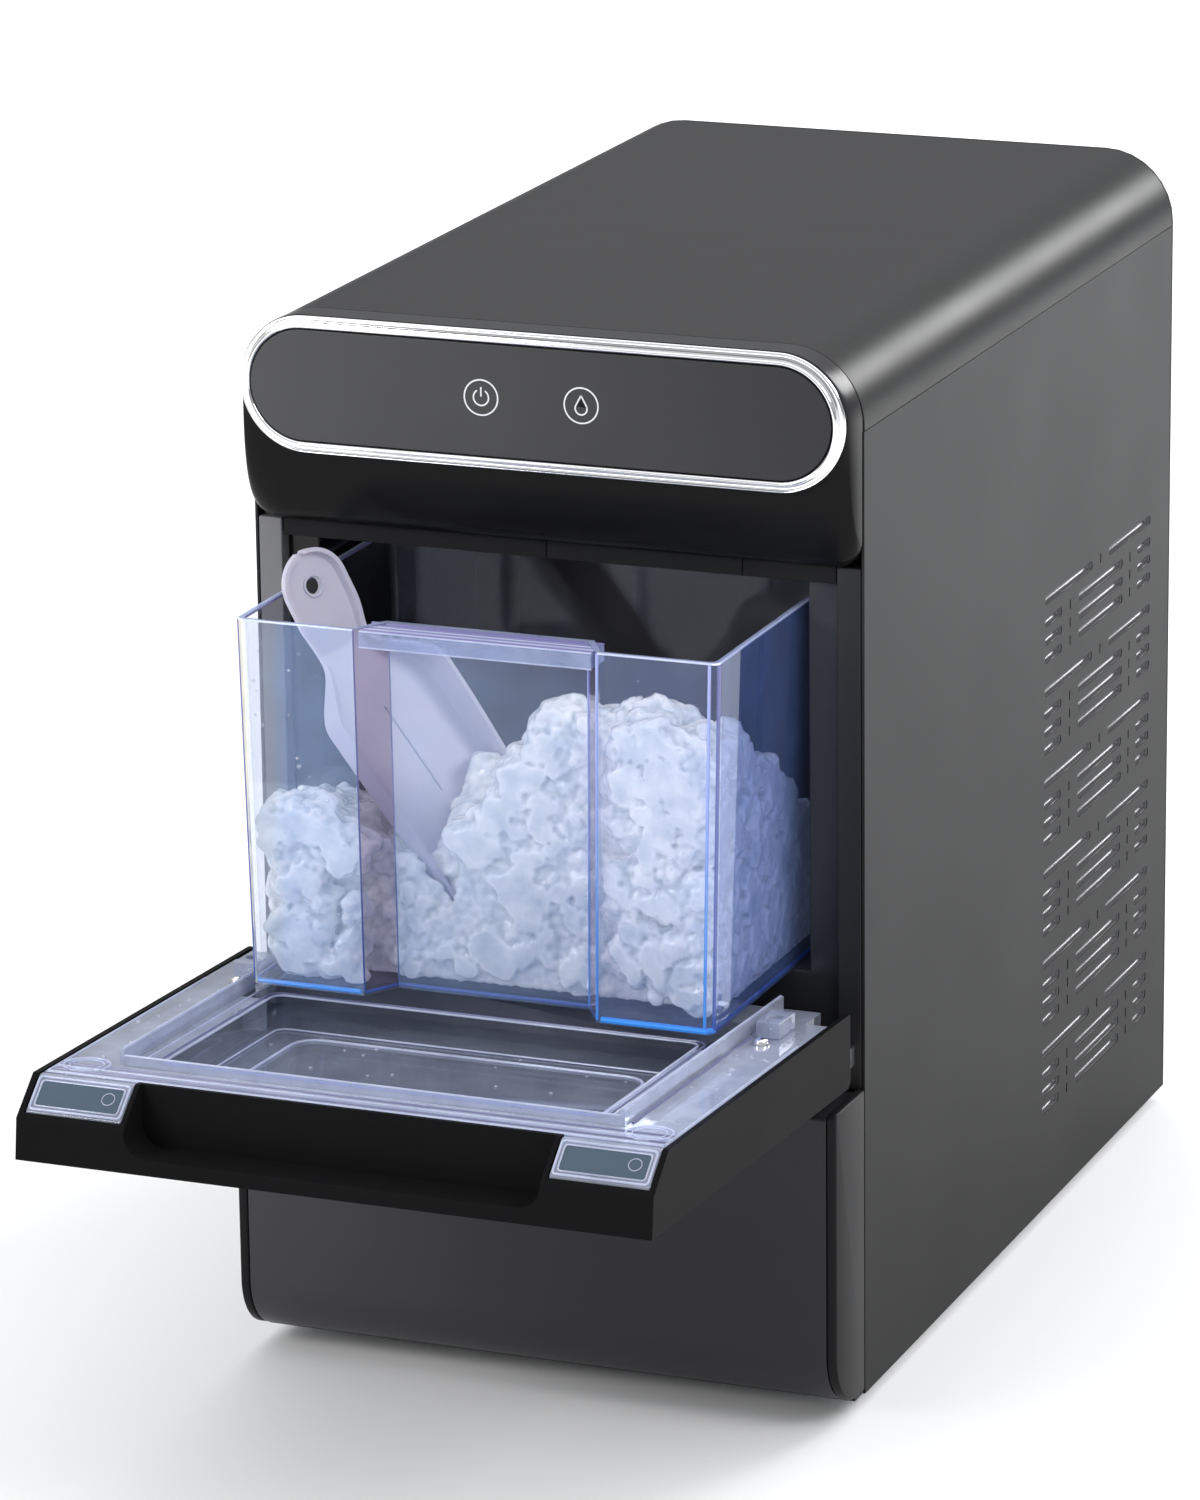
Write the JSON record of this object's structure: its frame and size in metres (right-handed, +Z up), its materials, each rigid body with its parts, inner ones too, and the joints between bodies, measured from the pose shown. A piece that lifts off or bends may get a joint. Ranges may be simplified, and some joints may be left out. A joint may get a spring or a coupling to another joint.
{
  "type": "countertop ice maker",
  "caption": "Upright countertop nugget ice maker: front door lets down on a hinge, a clear ice bin slides out of its cavity, with a scoop, a vented cabinet and a rounded control head.",
  "frame": {"origin": "middle of the footprint of the whole object as stored, door let down, on the surface that it stands on", "axes": "+Z up, +Y from the door towards the rear panel, +X to the right for someone facing the door"},
  "size_m": [0.26, 0.6442, 0.437],
  "materials": {
    "graphite_coat": "satin graphite powder coat",
    "panel_grey": "fine satin, charcoal",
    "black_plastic": "satin black",
    "gloss_black": "piano-black gloss",
    "chrome_trim": "mirror-bright plating",
    "clear_plastic": "clear, blue at its cut edges",
    "smoked_plastic": "smoked clear",
    "scoop_plastic": "satin, pale lavender grey",
    "ice": "wet, white and glassy",
    "rubber": "matte",
    "steel": "bare sheet",
    "shell_steel": "black enamel",
    "copper_tube": "bare copper",
    "aluminium": "mill finish",
    "tank_plastic": "milky, translucent",
    "circuit_board": "green solder mask"
  },
  "bodies": {
    "cabinet": {"left_side_panel": "graphite_coat", "right_side_panel": "graphite_coat", "top_cover": "graphite_coat", "rear_panel": "graphite_coat", "left_post": "graphite_coat", "right_post": "graphite_coat", "control_panel": "panel_grey", "lower_front_panel": "panel_grey", "left_cheek": "panel_grey", "right_cheek": "panel_grey", "head_housing": "black_plastic", "toe_strip": "black_plastic", "ice_chute": "black_plastic", "fan_shroud": "black_plastic", "gear_motor": "black_plastic", "water_pump": "black_plastic", "drain_spout": "black_plastic", "power_inlet": "black_plastic", "top_rail": "gloss_black", "cavity_liner": "gloss_black", "trim_ring": "chrome_trim", "ice_level_sensor": "smoked_plastic", "foot_front_left": "rubber", "foot_front_right": "rubber", "foot_rear_left": "rubber", "foot_rear_right": "rubber", "drain_cap": "rubber", "base_pan": "steel", "hinge_arm_left": "steel", "hinge_arm_right": "steel", "hinge_pin_left": "steel", "hinge_pin_right": "steel", "compressor_bracket": "steel", "fan_motor": "steel", "compressor": "shell_steel", "discharge_pipe": "copper_tube", "suction_pipe": "copper_tube", "filter_drier": "copper_tube", "condenser": "aluminium", "freezing_barrel": "aluminium", "water_tank": "tank_plastic", "water_hose": "tank_plastic", "control_board": "circuit_board", "power_board": "circuit_board"},
    "door": {"door_shell": "black_plastic", "door_window": "smoked_plastic", "door_liner": "clear_plastic", "door_corner_left": "clear_plastic", "door_corner_right": "clear_plastic", "door_magnet_left": "steel", "door_magnet_right": "steel", "door_stop_left": "clear_plastic", "door_stop_right": "clear_plastic"},
    "bin": {"ice_bin": "clear_plastic", "ice_heap": "ice"},
    "scoop": {"ice_scoop": "scoop_plastic"},
    "fan": {"condenser_fan": "black_plastic"},
    "auger": {"auger": "steel"}
  },
  "joints": [
    {"name": "door_hinge", "type": "hinge", "parent": "cabinet", "child": "door", "pos_m": [0, -0.11834, 0.148], "axis": [-1, 0, 0], "range_deg": [0, 87.13]},
    {"name": "bin_slide", "type": "slide", "parent": "cabinet", "child": "bin", "axis": [0, 1, 0], "range_m": [0, 0.09]},
    {"name": "scoop_settle", "type": "slide", "parent": "bin", "child": "scoop", "axis": [0.6, 0, -0.8], "range_m": [0, 0.024]},
    {"name": "fan_spin", "type": "hinge", "parent": "cabinet", "child": "fan", "pos_m": [0.0845, 0.21026, 0.141], "axis": [1, 0, 0], "continuous": true},
    {"name": "auger_turn", "type": "hinge", "parent": "cabinet", "child": "auger", "pos_m": [-0.078, 0.11526, 0.29], "axis": [0, 0, 1], "continuous": true}
  ],
  "couplings": [
    {"joint": "bin_slide", "follows": "door_hinge", "m_per_rad": 0.05918},
    {"joint": "scoop_settle", "follows": "door_hinge", "m_per_rad": 0.01578}
  ]
}
